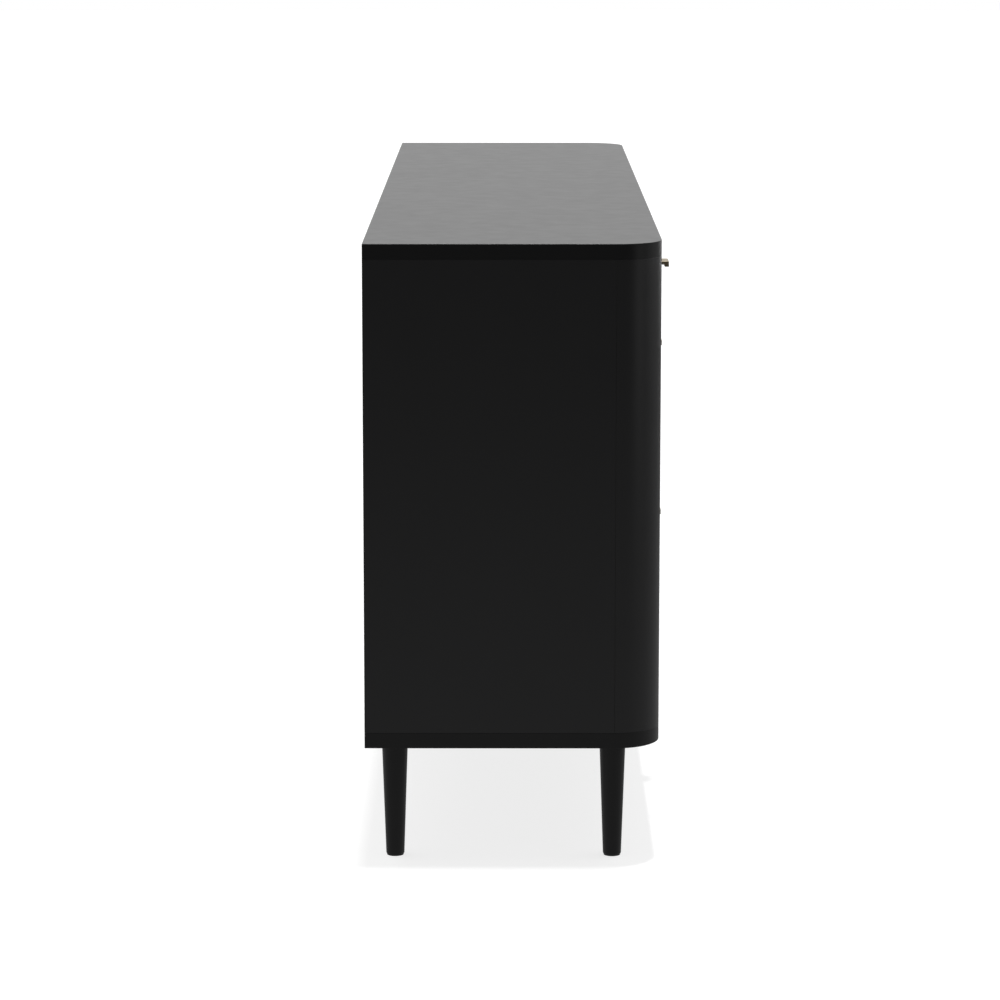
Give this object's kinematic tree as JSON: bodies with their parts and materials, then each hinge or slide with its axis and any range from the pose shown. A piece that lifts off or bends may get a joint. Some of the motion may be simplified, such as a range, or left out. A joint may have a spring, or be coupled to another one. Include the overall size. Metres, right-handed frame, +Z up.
{
  "type": "dresser with drawers",
  "caption": "Long low black dresser with rounded front corners, a row of small drawers over wide ones, short brass tab pulls and tapered round legs.",
  "frame": {"origin": "on the floor, at the middle of the overall box, pulls included", "axes": "+X along the length, -Y the way the drawer fronts face, +Z up"},
  "size_m": [1.78, 0.4186, 0.85],
  "materials": {
    "black_lacquer": "satin black lacquer over smooth board and turned wood",
    "birch_ply": "clear-lacquered birch plywood",
    "back_board": "dark stained hardboard, matte",
    "beech_dowel": "plain fluted beech",
    "brass": "lightly brushed, lacquered",
    "zinc_steel": "zinc plated sheet and bar",
    "glide_plastic": "moulded black nylon"
  },
  "bodies": {
    "case": {"top_panel": "black_lacquer", "bottom_panel": "black_lacquer", "side_panel_left": "black_lacquer", "side_panel_right": "black_lacquer", "corner_post_left": "black_lacquer", "corner_post_right": "black_lacquer", "runner_boards": "black_lacquer", "centre_divider": "black_lacquer", "dust_shelves": "black_lacquer", "short_dividers": "black_lacquer", "back_panels": "back_board", "leg_front_left": "black_lacquer", "leg_front_right": "black_lacquer", "leg_rear_left": "black_lacquer", "leg_rear_right": "black_lacquer", "leg_bolts": "zinc_steel", "leg_inserts": "zinc_steel", "foot_glides": "glide_plastic", "case_runners": "zinc_steel", "panel_dowels": "beech_dowel"},
    "drawer_top_1": {"drawer_top_1_front": "black_lacquer", "drawer_top_1_box": "birch_ply", "drawer_top_1_floor": "birch_ply", "drawer_top_1_pull": "brass", "drawer_top_1_runners": "zinc_steel"},
    "drawer_top_2": {"drawer_top_2_front": "black_lacquer", "drawer_top_2_box": "birch_ply", "drawer_top_2_floor": "birch_ply", "drawer_top_2_pull": "brass", "drawer_top_2_runners": "zinc_steel"},
    "drawer_top_3": {"drawer_top_3_front": "black_lacquer", "drawer_top_3_box": "birch_ply", "drawer_top_3_floor": "birch_ply", "drawer_top_3_pull": "brass", "drawer_top_3_runners": "zinc_steel"},
    "drawer_top_4": {"drawer_top_4_front": "black_lacquer", "drawer_top_4_box": "birch_ply", "drawer_top_4_floor": "birch_ply", "drawer_top_4_pull": "brass", "drawer_top_4_runners": "zinc_steel"},
    "drawer_middle_left": {"drawer_middle_left_front": "black_lacquer", "drawer_middle_left_box": "birch_ply", "drawer_middle_left_floor": "birch_ply", "drawer_middle_left_pull": "brass", "drawer_middle_left_runners": "zinc_steel"},
    "drawer_middle_right": {"drawer_middle_right_front": "black_lacquer", "drawer_middle_right_box": "birch_ply", "drawer_middle_right_floor": "birch_ply", "drawer_middle_right_pull": "brass", "drawer_middle_right_runners": "zinc_steel"},
    "drawer_bottom_left": {"drawer_bottom_left_front": "black_lacquer", "drawer_bottom_left_box": "birch_ply", "drawer_bottom_left_floor": "birch_ply", "drawer_bottom_left_pull": "brass", "drawer_bottom_left_runners": "zinc_steel"},
    "drawer_bottom_right": {"drawer_bottom_right_front": "black_lacquer", "drawer_bottom_right_box": "birch_ply", "drawer_bottom_right_floor": "birch_ply", "drawer_bottom_right_pull": "brass", "drawer_bottom_right_runners": "zinc_steel"}
  },
  "joints": [
    {"name": "drawer_top_1_slide", "type": "slide", "parent": "case", "child": "drawer_top_1", "axis": [0, -1, 0], "range_m": [0, 0.255]},
    {"name": "drawer_top_2_slide", "type": "slide", "parent": "case", "child": "drawer_top_2", "axis": [0, -1, 0], "range_m": [0, 0.255]},
    {"name": "drawer_top_3_slide", "type": "slide", "parent": "case", "child": "drawer_top_3", "axis": [0, -1, 0], "range_m": [0, 0.255]},
    {"name": "drawer_top_4_slide", "type": "slide", "parent": "case", "child": "drawer_top_4", "axis": [0, -1, 0], "range_m": [0, 0.255]},
    {"name": "drawer_middle_left_slide", "type": "slide", "parent": "case", "child": "drawer_middle_left", "axis": [0, -1, 0], "range_m": [0, 0.255]},
    {"name": "drawer_middle_right_slide", "type": "slide", "parent": "case", "child": "drawer_middle_right", "axis": [0, -1, 0], "range_m": [0, 0.255]},
    {"name": "drawer_bottom_left_slide", "type": "slide", "parent": "case", "child": "drawer_bottom_left", "axis": [0, -1, 0], "range_m": [0, 0.255]},
    {"name": "drawer_bottom_right_slide", "type": "slide", "parent": "case", "child": "drawer_bottom_right", "axis": [0, -1, 0], "range_m": [0, 0.255]}
  ]
}
